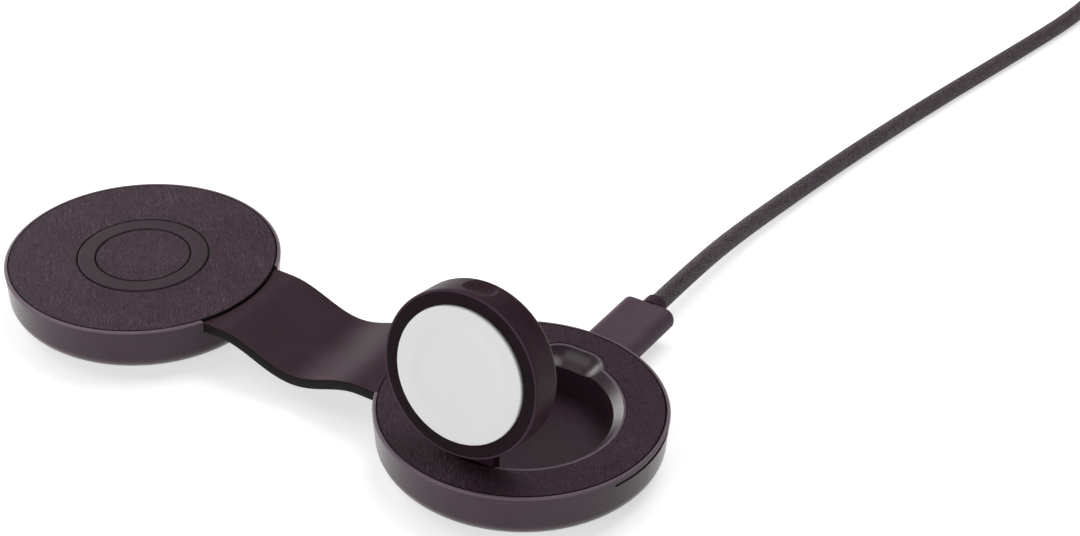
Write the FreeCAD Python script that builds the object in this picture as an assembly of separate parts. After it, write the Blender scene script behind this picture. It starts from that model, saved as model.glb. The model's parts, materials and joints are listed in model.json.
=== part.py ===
import FreeCAD, Part
import math
import os

from FreeCAD import Vector

os.makedirs("parts", exist_ok=True)

# Driving dimensions, in millimetres and degrees.
# X runs from the phone pad to the watch base, Y towards the cable, Z up from the table.

# The two discs
rim_radius = 29.4
disc_gap = 37.8
rim_thickness = 0.7
rim_bevel = 0.3
wall_draft = 0.45
wall_foot_height = 6.1
edge_width = 9.2
lower_wall = 4.55
floor_thickness = 1.5
shelf_width = 1.5
foot_inset = 2.75
foot_thickness = 1.0
foot_proud = 0.4
foot_gap = 0.1

# Leather facings and the decks that carry them
leather_thickness = 1.0
leather_gap = 0.2
leather_round = 0.25
leather_band = 7.9
deck_thickness = 1.0
deck_gap = 0.1
grip_outer_radius = 13.97
grip_inner_radius = 10.17
grip_groove = 0.2
grip_proud = 0.1

# Inside the phone pad
magnet_gap = 0.3
magnet_width = 3.7
magnet_thickness = 2.1
magnet_count = 14
magnet_strap_gap = 1.28
magnet_gap_angle = 1.5
coil_inner_radius = 9.5
coil_margin = 0.4
coil_thickness = 1.2
shield_gap = 0.8
shield_thickness = 0.9
pad_board_gap = 1.8
board_thickness = 1.0
chip_height = 1.1
chip_air = 1.3
controller_side = 6.0
choke_side = 4.5
pad_chip_inset = 8.5
pad_chip_angles = (0.0, 120.0, 240.0)

# Board screws and their posts
post_radius = 2.2
pad_post_inset = 6.6
pad_post_angles = (60.0, 180.0, 300.0)
base_post_angles = (50.0, 130.0, 215.0)
screw_head_radius = 1.6
screw_head_height = 0.9
screw_radius = 0.9
screw_length = 2.4
screw_gap = 0.05
drive_radius = 0.7
drive_depth = 0.5

# Strap
strap_width = 24.6
strap_thickness = 2.3
strap_drop = 0.5
strap_sag = 4.4
strap_flat = 1.4
strap_gap = 0.12
strap_shelf_gap = 0.05
strap_end_gap = 0.4
tongue_reach = 7.0
tongue_top_gap = 0.05
anchor_side_inset = 0.5
anchor_height = 2.85
peg_radius = 1.0
peg_gap = 0.1
peg_end_inset = 2.2
peg_side_inset = 5.0
lead_width = 8.0
lead_thickness = 0.3
lead_gap = 0.05
lead_drop = 0.55
lead_bend = 0.8
lead_foot = 1.2
lead_leg_inset = 1.0

# Pocket of the watch base
pocket_gap = 0.4
pocket_side_gap = 1.3
lip_width = 1.9
lip_depth = 1.6
lip_below_leather = 0.1
land_width = 0.5
land_gap = 0.15
liner_wall = 1.0
seat_rib_height = 0.6
seat_rib_width = 2.5
seat_rib_inset = 2.0
scoop_radius = 6.5
scoop_half_length = 2.0
scoop_inset = 2.8
scoop_rise = 3.9
scoop_floor = 1.0

# Thumb recess in the rim of the watch base
thumb_angle = 40.0
thumb_depth = 0.35
thumb_height = 1.3
thumb_below_top = 0.4

# Watch puck, from its back to its face
puck_floor = 1.2
puck_board_thickness = 1.0
puck_air = 0.95
watch_shield_thickness = 1.4
watch_coil_thickness = 1.2
cap_flange_thickness = 1.0
bezel_gap = 0.05
bezel_thickness = 1.2
cap_proud = 0.6

# Watch puck, from its side to its middle
puck_back_round = 1.6
puck_front_round = 0.4
bezel_inset = 0.55
bezel_width = 2.55
cap_gap = 0.1
cap_flange = 1.1
cap_flange_gap = 0.3
cap_edge_round = 0.35
dish_margin = 3.3
dish_depth = 0.35
dish_slope = 2.2
dish_blend = 6.0
puck_ledge = 1.2
puck_board_gap = 0.5
watch_coil_inset = 0.6
watch_magnet_radius = 5.6
watch_magnet_gap = 1.0
scallop_radius = 6.0
scallop_half_length = 1.0
scallop_depth = 0.9
scallop_below_front = 3.9

# Hinge of the puck
hinge_reach = 6.6
hinge_drop = 3.1
raised_angle = 80.0
arm_width = 12.0
arm_thickness = 2.4
arm_front_gap = 1.2
arm_root = 3.0
arm_elbow_round = 3.4
boss_radius = 1.4
boss_gap = 0.25
pin_radius = 0.7
pin_press_gap = 0.02
pin_running_gap = 0.05
washer_wall = 0.6
washer_thickness = 0.3
washer_gap = 0.04
ear_thickness = 2.4
ear_wall = 1.1
slot_roof_gap = 0.15
slot_board_gap = 0.3

# USB-C socket, plug and cable
port_height = 5.75
port_gap = 0.2
socket_width = 8.94
socket_height = 3.26
socket_wall = 0.3
socket_length = 7.3
socket_inset = 1.0
tongue_plate_gap = 0.475
tongue_plate_thickness = 0.7
tongue_plate_length = 5.0
base_board_gap = 0.4
base_board_liner_gap = 0.5
port_chip_side = 3.4
port_chip_angles = (10.0, 30.0, 155.0, 235.0)
tip_side_gap = 0.045
tip_flat_gap = 0.13
tip_wall = 0.3
tip_length = 6.6
tip_in_grip = 2.0
grip_width = 12.4
grip_height = 4.9
grip_corner = 2.2
grip_end_round = 0.5
grip_length = 21.3
grip_from_rim = 0.1
collar_radius = 2.6
collar_length = 3.2
collar_round = 0.4
cable_radius = 2.05

# Route of the cable on the table, measured from the centre of the watch base
exit_run = 15.5
cable_route = (
    (-0.4, 88.0, 2.2),
    (0.9, 111.0, 2.1),
    (4.8, 142.0, 2.1),
    (10.2, 174.5, 2.1),
    (16.9, 209.0, 2.1),
    (23.6, 246.0, 2.1),
)
coil_centre = (54.0, 281.0)
coil_start_radius = 31.6
coil_end_radius = 14.2
coil_layers = 2
coil_round = 1.6
tie_width = 8.0
tie_thickness = 0.8
tie_gap = 0.1
tail_points = (
    (0.0, -12.0, 5.8),
    (0.6, -26.0, 2.6),
)
far_collar_distance = 38.0
arc_share = 0.45

# Radii worked out from the rim inwards
disc_spacing = 2 * rim_radius + disc_gap
pad_x = -disc_spacing / 2
base_x = disc_spacing / 2
wall_foot_radius = rim_radius - wall_draft
flat_radius = wall_foot_radius - edge_width
foot_radius = flat_radius - foot_inset
cavity_radius = wall_foot_radius - lower_wall
rim_inner = rim_radius - rim_thickness
shelf_inner = rim_inner - shelf_width
deck_radius = rim_inner - deck_gap
leather_radius = rim_inner - leather_gap
land_radius = leather_radius - leather_band
pocket_mouth_radius = land_radius - land_width
pocket_radius = pocket_mouth_radius - lip_width
puck_radius = pocket_radius - pocket_side_gap
bezel_radius = puck_radius - bezel_inset
cap_radius = bezel_radius - bezel_width
dish_radius = cap_radius - dish_margin
puck_bore_radius = cap_radius + cap_flange + cap_flange_gap
ledge_radius = puck_bore_radius - puck_ledge
watch_coil_outer = cap_radius - watch_coil_inset
watch_coil_inner = watch_magnet_radius + watch_magnet_gap
tongue_end_radius = rim_radius - tongue_reach
peg_circle = tongue_end_radius + peg_end_inset
lead_leg_radius = tongue_end_radius - lead_leg_inset
shield_radius = lead_leg_radius - shield_gap
coil_outer_radius = shield_radius - coil_margin
magnet_outer_radius = shelf_inner - magnet_gap
magnet_inner_radius = magnet_outer_radius - magnet_width
pad_board_radius = cavity_radius - pad_board_gap
pad_post_circle = pad_board_radius - pad_post_inset
pad_chip_circle = pad_post_circle - pad_chip_inset
base_board_inner = pocket_radius + liner_wall + base_board_liner_gap
base_board_outer = cavity_radius - base_board_gap
base_post_circle = (base_board_inner + base_board_outer) / 2
scoop_distance = pocket_mouth_radius - scoop_inset
scoop_mouth_rise = scoop_rise + lip_below_leather
scoop_mouth_radius = math.sqrt(scoop_radius ** 2 - scoop_mouth_rise ** 2)
scoop_land_radius = scoop_mouth_radius + land_width

# Heights worked out from the table up; the puck and its pocket set the height of the discs
floor_top = foot_proud + floor_thickness
liner_bottom = floor_top + seat_rib_height
pocket_floor = liner_bottom + liner_wall
puck_bottom = pocket_floor + pocket_gap
puck_inner_floor = puck_bottom + puck_floor
puck_board_top = puck_inner_floor + puck_board_thickness
watch_shield_bottom = puck_board_top + puck_air
watch_coil_bottom = watch_shield_bottom + watch_shield_thickness
cap_flange_bottom = watch_coil_bottom + watch_coil_thickness
cap_flange_top = cap_flange_bottom + cap_flange_thickness
bezel_seat = cap_flange_top + bezel_gap
bezel_top = bezel_seat + bezel_thickness
disc_height = bezel_top + cap_proud
deck_top = disc_height - leather_thickness
deck_bottom = deck_top - deck_thickness
liner_top = disc_height - lip_below_leather
scoop_height = disc_height + scoop_rise
strap_top = disc_height - strap_drop
strap_bottom = strap_top - strap_thickness
strap_middle = strap_top - strap_thickness / 2
anchor_top = strap_bottom - strap_shelf_gap
cavity_step_height = anchor_top - anchor_height
tongue_top = deck_top - tongue_top_gap
lead_level = strap_middle - lead_drop
coil_bottom = deck_bottom - coil_thickness
shield_bottom = coil_bottom - shield_thickness
pad_board_top = shield_bottom - chip_air - chip_height
pad_board_height = pad_board_top - board_thickness
socket_bottom = port_height - socket_height / 2
base_board_height = socket_bottom - board_thickness
thumb_high = disc_height - thumb_below_top
thumb_low = thumb_high - thumb_height

# Other places and sizes worked out
half_notch = strap_width / 2 + strap_gap
anchor_half_width = strap_width / 2 - anchor_side_inset
peg_places = (peg_side_inset - strap_width / 2, strap_width / 2 - peg_side_inset)
strap_wave_half = disc_gap / 2 - strap_flat
magnet_first_angle = math.degrees(math.asin((strap_width / 2 + magnet_strap_gap) / magnet_inner_radius))
hinge_y = -puck_radius - hinge_reach
hinge_z = disc_height - hinge_drop
hinge_front = hinge_y - boss_radius - boss_gap
bore_radius = pin_radius + pin_running_gap
ear_inner = arm_width / 2 + washer_thickness + 2 * washer_gap
ear_outer = ear_inner + ear_thickness
ear_half_depth = pin_radius + ear_wall
socket_mouth = wall_foot_radius - socket_inset
socket_inner_width = socket_width - 2 * socket_wall
socket_inner_height = socket_height - 2 * socket_wall
tip_width = socket_inner_width - 2 * tip_side_gap
tip_height = socket_inner_height - 2 * tip_flat_gap
tip_inner_width = tip_width - 2 * tip_wall
tip_inner_height = tip_height - 2 * tip_wall
tongue_plate_width = tip_inner_width - 2 * tongue_plate_gap
grip_start = rim_radius + grip_from_rim
grip_end = grip_start + grip_length
collar_end = grip_end + collar_length
up = Vector(0, 0, 1)
across = Vector(1, 0, 0)
along = Vector(0, 1, 0)
origin = Vector(0, 0, 0)
over = 1.0
same = 1e-6


def cylinder(radius, low, high, x=0.0, y=0.0):
    return Part.makeCylinder(radius, high - low, Vector(x, y, low))


def ring(inner, outer, low, high):
    return cylinder(outer, low, high).cut(cylinder(inner, low - over, high + over))


def block(x0, x1, y0, y1, z0, z1):
    corner = Vector(min(x0, x1), min(y0, y1), z0)
    return Part.makeBox(abs(x1 - x0), abs(y1 - y0), z1 - z0, corner)


def polar(radius, angle):
    turn = math.radians(angle)
    return radius * math.cos(turn), radius * math.sin(turn)


def revolved(outline):
    """Solid of revolution about Z from a closed outline of (radius, height) corners."""
    corners = [Vector(r, 0, z) for r, z in outline]
    face = Part.Face(Part.makePolygon(corners + corners[:1]))
    return face.revolve(origin, up, 360)


def rounded_circles(shape, radius, places):
    """Round the full circles that lie at the given (radius, height) places."""
    chosen = []
    for edge in shape.Edges:
        curve = edge.Curve
        if not isinstance(curve, Part.Circle):
            continue
        for r, z in places:
            if abs(curve.Radius - r) < same and curve.Center.isEqual(Vector(0, 0, z), same):
                chosen.append(edge)
    return shape.makeFillet(radius, chosen)


def rounded_bar(width, height, corner, start, end, level):
    """Bar along Y with a rounded rectangular section, centred at x = 0 and z = level."""
    box = block(-width / 2, width / 2, start, end, level - height / 2, level + height / 2)
    long_edges = [e for e in box.Edges if abs(e.Vertexes[0].Y - e.Vertexes[1].Y) > same]
    return box.makeFillet(corner, long_edges)


def flat_oval_bar(width, height, start, end, level):
    """Bar along Y with a section of two half circles and two straight sides."""
    reach = (width - height) / 2
    bar = block(-reach, reach, start, end, level - height / 2, level + height / 2)
    for x in (-reach, reach):
        bar = bar.fuse(Part.makeCylinder(height / 2, end - start, Vector(x, start, level), along))
    return bar.removeSplitter()


def long_slot(radius, half_length, y, low, high):
    """Upright prism with a slot outline that runs along X."""
    prism = block(-half_length, half_length, y - radius, y + radius, low, high)
    for x in (-half_length, half_length):
        prism = prism.fuse(cylinder(radius, low, high, x, y))
    return prism.removeSplitter()


def capsule(radius, half_length, y, z):
    """Round bar along X with ball ends."""
    shape = Part.makeCylinder(radius, 2 * half_length, Vector(-half_length, y, z), across)
    for x in (-half_length, half_length):
        shape = shape.fuse(Part.makeSphere(radius, Vector(x, y, z)))
    return shape


def strip(start, moves, low, high, half_width):
    """Band between two offsets of a path in the XZ plane.

    The path heads along +X from start. A move is (length, 0, 0) for a straight run,
    or (0, radius, angle) for a tangent arc, with a positive angle to the left.
    """
    x, z = start
    heading = 0.0

    def beside(px, pz, turn, distance):
        return Vector(px - distance * math.sin(turn), -half_width, pz + distance * math.cos(turn))

    near = []
    far = []
    for length, radius, angle in moves:
        turn = math.radians(angle)
        chord = length if angle == 0 else 2 * radius * abs(math.sin(turn / 2))
        end_x = x + chord * math.cos(heading + turn / 2)
        end_z = z + chord * math.sin(heading + turn / 2)
        for edges, distance in ((near, low), (far, high)):
            first = beside(x, z, heading, distance)
            last = beside(end_x, end_z, heading + turn, distance)
            if angle == 0:
                edges.append(Part.LineSegment(first, last).toShape())
                continue
            half = 2 * radius * abs(math.sin(turn / 4))
            middle_x = x + half * math.cos(heading + turn / 4)
            middle_z = z + half * math.sin(heading + turn / 4)
            middle = beside(middle_x, middle_z, heading + turn / 2, distance)
            edges.append(Part.Arc(first, middle, last).toShape())
        x, z, heading = end_x, end_z, heading + turn
    left = Part.LineSegment(near[0].firstVertex().Point, far[0].firstVertex().Point).toShape()
    right = Part.LineSegment(near[-1].lastVertex().Point, far[-1].lastVertex().Point).toShape()
    wire = Part.Wire(Part.__sortEdges__(near + [right] + far + [left]))
    return Part.Face(wire).extrude(Vector(0, 2 * half_width, 0))


# Discs

def disc_housing(side):
    """Bowl with a rounded lower edge and a bevelled rim; the strap leaves towards side * X."""
    centre = Vector(flat_radius, 0, wall_foot_height)
    side_point = Vector(wall_foot_radius, 0, wall_foot_height)
    oval = Part.Ellipse(side_point, Vector(flat_radius, 0, foot_proud), centre)
    lower_edge = Part.ArcOfEllipse(oval, 0, math.pi / 2).toShape()
    corners = [
        (wall_foot_radius, wall_foot_height),
        (rim_radius, disc_height - rim_bevel),
        (rim_radius - rim_bevel, disc_height),
        (rim_inner, disc_height),
        (rim_inner, deck_bottom),
        (shelf_inner, deck_bottom),
        (shelf_inner, cavity_step_height),
        (cavity_radius, cavity_step_height),
        (cavity_radius, floor_top),
        (0, floor_top),
        (0, foot_proud),
        (flat_radius, foot_proud),
    ]
    path = [Vector(r, 0, z) for r, z in corners]
    edges = [Part.LineSegment(a, b).toShape() for a, b in zip(path, path[1:])]
    wire = Part.Wire(Part.__sortEdges__(edges + [lower_edge]))
    bowl = Part.Face(wire).revolve(origin, up, 360)
    bowl = bowl.cut(cylinder(foot_radius + foot_gap, foot_proud - over, foot_thickness))

    near = side * tongue_end_radius
    anchor = block(
        near, side * rim_inner, -anchor_half_width, anchor_half_width, cavity_step_height, anchor_top
    )
    wall_middle = shelf_inner + shelf_width / 2
    bowl = bowl.fuse(anchor.common(cylinder(wall_middle, cavity_step_height, anchor_top)))
    far = side * (rim_radius + over)
    bowl = bowl.cut(block(near, far, -half_notch, half_notch, anchor_top, disc_height + over))
    for y in peg_places:
        bowl = bowl.fuse(cylinder(peg_radius, anchor_top, tongue_top, side * peg_circle, y))
    return bowl.removeSplitter()


def with_posts(housing, circle, angles, height):
    """Add hollow posts for the board screws."""
    for angle in angles:
        x, y = polar(circle, angle)
        housing = housing.fuse(cylinder(post_radius, floor_top, height, x, y))
    for angle in angles:
        x, y = polar(circle, angle)
        low = max(height + board_thickness - screw_length, floor_top) - screw_gap
        housing = housing.cut(cylinder(screw_radius + screw_gap, low, height + over, x, y))
    return housing


def board_screws(circle, angles, board_top):
    """Round-headed screws with a recess for the driver, one over each post."""
    low = max(board_top - screw_length, floor_top)
    screws = []
    for angle in angles:
        x, y = polar(circle, angle)
        head = cylinder(screw_head_radius, board_top, board_top + screw_head_height, x, y)
        head_top = [e for e in head.Edges if e.BoundBox.ZMin > board_top + screw_head_height / 2]
        head = head.makeFillet(screw_head_height / 2, head_top[:1])
        screw = head.fuse(cylinder(screw_radius, low, board_top, x, y))
        drive_low = board_top + screw_head_height - drive_depth
        drive = cylinder(drive_radius, drive_low, board_top + screw_head_height + over, x, y)
        screws.append(screw.cut(drive))
    return Part.makeCompound(screws)


def drilled(board, circle, angles, low, high):
    """Screw holes through a board."""
    for angle in angles:
        x, y = polar(circle, angle)
        board = board.cut(cylinder(screw_radius + 2 * screw_gap, low - over, high + over, x, y))
    return board


def with_chip(board, circle, angle, side, level):
    """Square chip on a board, turned to face the board's centre."""
    half = side / 2
    chip = block(circle - half, circle + half, -half, half, level, level + chip_height)
    chip.rotate(origin, up, angle)
    return board.fuse(chip)


def disc_foot():
    foot = cylinder(foot_radius, 0, foot_thickness)
    return rounded_circles(foot, foot_proud / 2, [(foot_radius, 0)])


def strap_cut(side, low, high):
    """Room in a deck for the tongue of the strap."""
    near = side * (tongue_end_radius - strap_end_gap)
    return block(near, side * rim_radius, -half_notch, half_notch, low, high)


# Phone pad

def pad_leather_ring():
    facing = ring(grip_outer_radius + grip_groove / 2, leather_radius, deck_top, disc_height)
    edges = [(leather_radius, disc_height), (grip_outer_radius + grip_groove / 2, disc_height)]
    return rounded_circles(facing, leather_round, edges)


def pad_grip_ring():
    inner = grip_inner_radius + grip_groove / 2
    outer = grip_outer_radius - grip_groove / 2
    top = disc_height + grip_proud
    grip = ring(inner, outer, deck_top, top)
    return rounded_circles(grip, leather_round, [(inner, top), (outer, top)])


def pad_leather_centre():
    radius = grip_inner_radius - grip_groove / 2
    facing = cylinder(radius, deck_top, disc_height)
    return rounded_circles(facing, leather_round, [(radius, disc_height)])


def alignment_magnets():
    """Arc magnets round the coil, with the strap side left open."""
    span = (360 - 2 * magnet_first_angle) / magnet_count
    low = deck_bottom - magnet_thickness
    hole = cylinder(magnet_inner_radius, low - over, deck_bottom + over)
    magnets = []
    arc_angle = span - magnet_gap_angle
    for index in range(magnet_count):
        arc = Part.makeCylinder(magnet_outer_radius, magnet_thickness, Vector(0, 0, low), up, arc_angle)
        magnet = arc.cut(hole)
        magnet.rotate(origin, up, magnet_first_angle + index * span)
        magnets.append(magnet)
    return Part.makeCompound(magnets)


def pad_board():
    """Round board with a controller and two chokes."""
    board = cylinder(pad_board_radius, pad_board_height, pad_board_top)
    board = drilled(board, pad_post_circle, pad_post_angles, pad_board_height, pad_board_top)
    for angle, side in zip(pad_chip_angles, (controller_side, choke_side, choke_side)):
        board = with_chip(board, pad_chip_circle, angle, side, pad_board_top)
    return board


# Strap

def wave(level_shift):
    """Moves of the strap's wave for a layer that lies level_shift above its middle."""
    turn = math.degrees(2 * math.atan(strap_sag / strap_wave_half))
    radius = strap_wave_half / (2 * math.sin(math.radians(turn)))
    crest = (0, radius + level_shift, -turn)
    trough = (0, radius - level_shift, turn)
    return [crest, trough, trough, crest]


def strap():
    """Moulded strap with a stepped tongue, peg holes and a lead channel at each end."""
    end = disc_spacing / 2 - tongue_end_radius
    run = (end - strap_wave_half, 0, 0)
    path = [run] + wave(0) + [run]
    start = (-end, strap_middle)
    half = strap_thickness / 2
    band = strip(start, path, -half, half, strap_width / 2)
    for x in (pad_x, base_x):
        band = band.cut(cylinder(leather_radius + strap_end_gap, tongue_top, strap_top + over, x))
    for side, x in ((1, pad_x), (-1, base_x)):
        peg_x = x + side * peg_circle
        for y in peg_places:
            hole = cylinder(peg_radius + peg_gap, strap_bottom - over, strap_top + over, peg_x, y)
            band = band.cut(hole)
    half_channel = lead_thickness / 2 + lead_gap
    low = -lead_drop - half_channel
    high = -lead_drop + half_channel
    return band.cut(strip(start, path, low, high, lead_width / 2 + lead_gap))


def strap_lead():
    """Flat lead from the pad's board through the strap to the base's board."""
    rise = lead_thickness / 2
    end = disc_spacing / 2 - lead_leg_radius
    run = (end - lead_bend - strap_wave_half, 0, 0)
    foot = (lead_foot, 0, 0)
    left_bend = (0, lead_bend, 90)
    right_bend = (0, lead_bend, -90)
    pad_leg = (lead_level - pad_board_top - rise - 2 * lead_bend, 0, 0)
    base_leg = (lead_level - socket_bottom - rise - 2 * lead_bend, 0, 0)
    path = [foot, left_bend, pad_leg, right_bend, run]
    path += wave(-lead_drop)
    path += [run, right_bend, base_leg, left_bend, foot]
    start = (-end - lead_bend - lead_foot, pad_board_top + rise)
    return strip(start, path, -rise, rise, lead_width / 2)


# Watch base

def base_housing():
    """Disc housing with the cable port, the thumb recess, the liner's seat and a well for the hinge arm."""
    bowl = with_posts(disc_housing(-1), base_post_circle, base_post_angles, base_board_height)
    rib_outer = pocket_radius - seat_rib_inset
    bowl = bowl.fuse(ring(rib_outer - seat_rib_width, rib_outer, floor_top, liner_bottom))
    width = socket_width + 2 * port_gap
    height = socket_height + 2 * port_gap
    bowl = bowl.cut(flat_oval_bar(width, height, cavity_radius - over, rim_radius + over, port_height))
    well_top = cavity_step_height + over
    bowl = bowl.cut(block(-ear_inner, ear_inner, hinge_front, 0, base_board_height, well_top))
    thumb_base = Vector(0, 0, thumb_low)
    band = Part.makeCylinder(rim_radius + over, thumb_height, thumb_base, up, thumb_angle)
    band.rotate(origin, up, -thumb_angle / 2)
    recess = band.cut(cylinder(rim_radius - thumb_depth, thumb_low - over, thumb_high + over))
    return bowl.cut(recess)


def hinge_bar(radius, half_length):
    """Round bar along the hinge's axis."""
    return Part.makeCylinder(radius, 2 * half_length, Vector(-half_length, hinge_y, hinge_z), across)


def hinge_slot():
    """Room for the hinge arm: roofed under the leather and open above inside the leather's edge."""
    half = ear_inner
    roof = hinge_z + boss_radius + slot_roof_gap
    pocket_side = over - math.sqrt(pocket_radius ** 2 - half ** 2)
    roofed = block(-half, half, hinge_front, pocket_side, pocket_floor, roof)
    top = liner_top + over
    mouth = block(-half, half, -land_radius, pocket_side, pocket_floor, top)
    return roofed.fuse(mouth.common(cylinder(land_radius, pocket_floor, top)))


def pocket_liner():
    """Deck and pocket in one moulding, with sloped lip, finger scoop, hinge slot and ears."""
    lip_low = liner_top - lip_depth
    outline = [
        (0, liner_bottom),
        (pocket_radius + liner_wall, liner_bottom),
        (pocket_radius + liner_wall, deck_bottom),
        (deck_radius, deck_bottom),
        (deck_radius, deck_top),
        (land_radius, deck_top),
        (land_radius, liner_top),
        (0, liner_top),
    ]
    void_outline = [
        (0, pocket_floor),
        (pocket_radius, pocket_floor),
        (pocket_radius, lip_low),
        (pocket_mouth_radius, liner_top),
        (pocket_mouth_radius, liner_top + over),
        (0, liner_top + over),
    ]
    scoop_low = scoop_height - scoop_radius - scoop_floor
    liner = revolved(outline)
    scoop_land = long_slot(scoop_land_radius, scoop_half_length, scoop_distance, scoop_low, liner_top)
    liner = liner.fuse(scoop_land)
    for side in (-1, 1):
        ear = block(
            side * ear_inner,
            side * ear_outer,
            hinge_y - ear_half_depth,
            hinge_y + ear_half_depth,
            hinge_z - ear_half_depth,
            deck_bottom,
        )
        liner = liner.fuse(ear)
    liner = liner.cut(revolved(void_outline))
    liner = liner.cut(capsule(scoop_radius, scoop_half_length, scoop_distance, scoop_height))
    liner = liner.cut(hinge_slot())
    liner = liner.cut(strap_cut(-1, deck_bottom - over, deck_top + over))
    return liner.cut(hinge_bar(pin_radius + pin_press_gap, ear_outer + over)).removeSplitter()


def base_leather_ring():
    facing = cylinder(leather_radius, deck_top, disc_height)
    facing = rounded_circles(facing, leather_round, [(leather_radius, disc_height)])
    facing = facing.cut(cylinder(land_radius + land_gap, deck_top - over, disc_height + over))
    scoop_edge = scoop_land_radius + land_gap
    low, high = deck_top - over, disc_height + over
    return facing.cut(long_slot(scoop_edge, scoop_half_length, scoop_distance, low, high))


def base_board():
    """Ring-shaped board round the pocket, open where the hinge arm hangs, with chips on top."""
    board = ring(base_board_inner, base_board_outer, base_board_height, socket_bottom)
    half = ear_inner + slot_board_gap
    board = board.cut(block(-half, half, -rim_radius, 0, base_board_height - over, socket_bottom + over))
    board = drilled(board, base_post_circle, base_post_angles, base_board_height, socket_bottom)
    for angle in port_chip_angles:
        board = with_chip(board, base_post_circle, angle, port_chip_side, socket_bottom)
    return board


def usb_receptacle():
    """Socket shell, closed at the back, with its contact tongue."""
    back = socket_mouth - socket_length
    shell = flat_oval_bar(socket_width, socket_height, back, socket_mouth, port_height)
    inside = back + socket_wall
    hollow = flat_oval_bar(socket_inner_width, socket_inner_height, inside, socket_mouth + over, port_height)
    shell = shell.cut(hollow)
    half = tongue_plate_thickness / 2
    reach = tongue_plate_width / 2
    end = back + tongue_plate_length
    plate = block(-reach, reach, back, end, port_height - half, port_height + half)
    return shell.fuse(plate).removeSplitter()


def hinge_pin():
    return hinge_bar(pin_radius, ear_outer)


def hinge_washers():
    washers = []
    for side in (-1, 1):
        seat = Vector(side * (arm_width / 2 + washer_gap), hinge_y, hinge_z)
        disc = Part.makeCylinder(bore_radius + washer_wall, washer_thickness, seat, across * side)
        washers.append(disc.cut(hinge_bar(bore_radius, ear_outer)))
    return Part.makeCompound(washers)


# Watch puck, drawn lying flat in the pocket and then raised about its hinge

def raised(shape):
    turned = shape.copy()
    turned.rotate(Vector(0, hinge_y, hinge_z), across, raised_angle)
    return turned


def hinge_arm():
    """Bent arm, drawn raised: level under the leather, then upright inside the leather's edge."""
    half = arm_width / 2
    front = arm_front_gap - land_radius - land_gap
    rear = front + arm_thickness
    low = hinge_z - boss_radius
    level = block(-half, half, hinge_y, rear, low, hinge_z + boss_radius)
    upright = block(-half, half, front, rear, low, hinge_z + hinge_reach + arm_root)
    arm = level.fuse(upright).removeSplitter()
    elbow = [
        e for e in arm.Edges
        if e.BoundBox.YMin > rear - same and e.BoundBox.ZMax < low + same
    ]
    arm = arm.makeFillet(arm_elbow_round, elbow)
    arm.rotate(Vector(0, hinge_y, hinge_z), across, -raised_angle)
    return arm


def puck_shell():
    """Round cup with stepped bore, hinge arm and a finger scallop opposite the hinge."""
    shell = cylinder(puck_radius, puck_bottom, bezel_top)
    shell = rounded_circles(shell, puck_back_round, [(puck_radius, puck_bottom)])
    shell = rounded_circles(shell, puck_front_round, [(puck_radius, bezel_top)])

    shell = shell.fuse(hinge_arm()).fuse(hinge_bar(boss_radius, arm_width / 2))
    shell = shell.cut(cylinder(ledge_radius, puck_inner_floor, bezel_top + over))
    shell = shell.cut(cylinder(puck_bore_radius, watch_shield_bottom, bezel_top + over))
    shell = shell.cut(cylinder(bezel_radius + bezel_gap, bezel_seat, bezel_top + over))
    shell = shell.cut(hinge_bar(bore_radius, arm_width / 2 + over))
    scallop_y = puck_radius + scallop_radius - scallop_depth
    scallop_z = bezel_top - scallop_below_front
    return shell.cut(capsule(scallop_radius, scallop_half_length, scallop_y, scallop_z))


def puck_bezel():
    bezel = ring(cap_radius + cap_gap, bezel_radius, bezel_seat, bezel_top)
    return rounded_circles(bezel, puck_front_round / 2, [(cap_radius + cap_gap, bezel_top)])


def puck_cap():
    """White face with a shallow dish, held by a flange under the bezel."""
    flange_radius = cap_radius + cap_flange
    outline = [
        (0, cap_flange_bottom),
        (flange_radius, cap_flange_bottom),
        (flange_radius, cap_flange_top),
        (cap_radius, cap_flange_top),
        (cap_radius, disc_height),
        (dish_radius, disc_height),
        (dish_radius - dish_slope, disc_height - dish_depth),
        (0, disc_height - dish_depth),
    ]
    cap = rounded_circles(revolved(outline), cap_edge_round, [(cap_radius, disc_height)])
    dish_edges = [(dish_radius, disc_height), (dish_radius - dish_slope, disc_height - dish_depth)]
    return rounded_circles(cap, dish_blend, dish_edges)


def puck_board():
    return cylinder(ledge_radius - puck_board_gap, puck_inner_floor, puck_board_top)


def watch_shield():
    return cylinder(puck_bore_radius - cap_gap, watch_shield_bottom, watch_coil_bottom)


def watch_coil():
    return ring(watch_coil_inner, watch_coil_outer, watch_coil_bottom, cap_flange_bottom)


def watch_magnet():
    return cylinder(watch_magnet_radius, watch_coil_bottom, cap_flange_bottom)


# Plugs and cable

def plug_parts():
    """Metal tip, moulded grip and sleeve of a plug that points along -Y at the port's height."""
    tip_end = grip_start - tip_length
    tip_root = grip_start + tip_in_grip
    tip = flat_oval_bar(tip_width, tip_height, tip_end, tip_root, port_height)
    hollow = flat_oval_bar(tip_inner_width, tip_inner_height, tip_end - over, grip_start, port_height)
    grip = rounded_bar(grip_width, grip_height, grip_corner, grip_start, grip_end, port_height)
    rear_edges = [e for e in grip.Edges if e.BoundBox.YMin > grip_end - same]
    grip = grip.makeFillet(grip_end_round, rear_edges)
    grip = grip.cut(flat_oval_bar(tip_width, tip_height, grip_start - over, tip_root, port_height))
    sleeve = Part.makeCylinder(collar_radius, collar_length, Vector(0, grip_end, port_height), along)
    end_edges = [e for e in sleeve.Edges if e.BoundBox.YMin > collar_end - same]
    sleeve = sleeve.makeFillet(collar_round, end_edges)
    return tip.cut(hollow), grip, sleeve


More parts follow.
